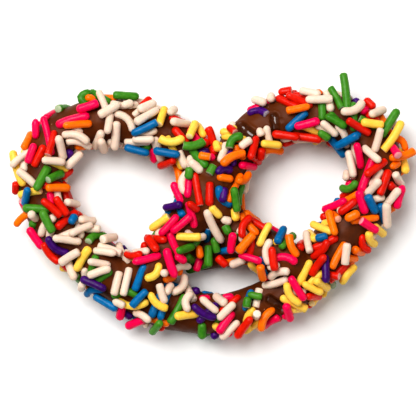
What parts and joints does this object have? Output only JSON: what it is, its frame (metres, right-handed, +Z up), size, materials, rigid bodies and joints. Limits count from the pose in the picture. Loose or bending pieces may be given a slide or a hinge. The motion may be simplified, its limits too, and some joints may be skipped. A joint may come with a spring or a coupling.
{
  "type": "sprinkle pretzel",
  "caption": "Hard pretzel twist dipped in milk chocolate and rolled in coloured rod sprinkles, lying flat as a single solid.",
  "frame": {"origin": "middle of the footprint, on the surface that the pretzel lies on", "axes": "+X along the pretzel's greatest width, +Y from the lower arc towards the two large loops, +Z up, twist side"},
  "size_m": [0.0786, 0.0515, 0.0122],
  "materials": {
    "milk_chocolate": "soft gloss",
    "rod_white": "satin",
    "rod_pink": "satin",
    "rod_red": "satin",
    "rod_orange": "satin",
    "rod_yellow": "satin",
    "rod_green": "satin",
    "rod_blue": "satin",
    "rod_purple": "satin"
  },
  "bodies": {
    "root": {"sprinkle_pretzel": "milk_chocolate"}
  },
  "joints": []
}
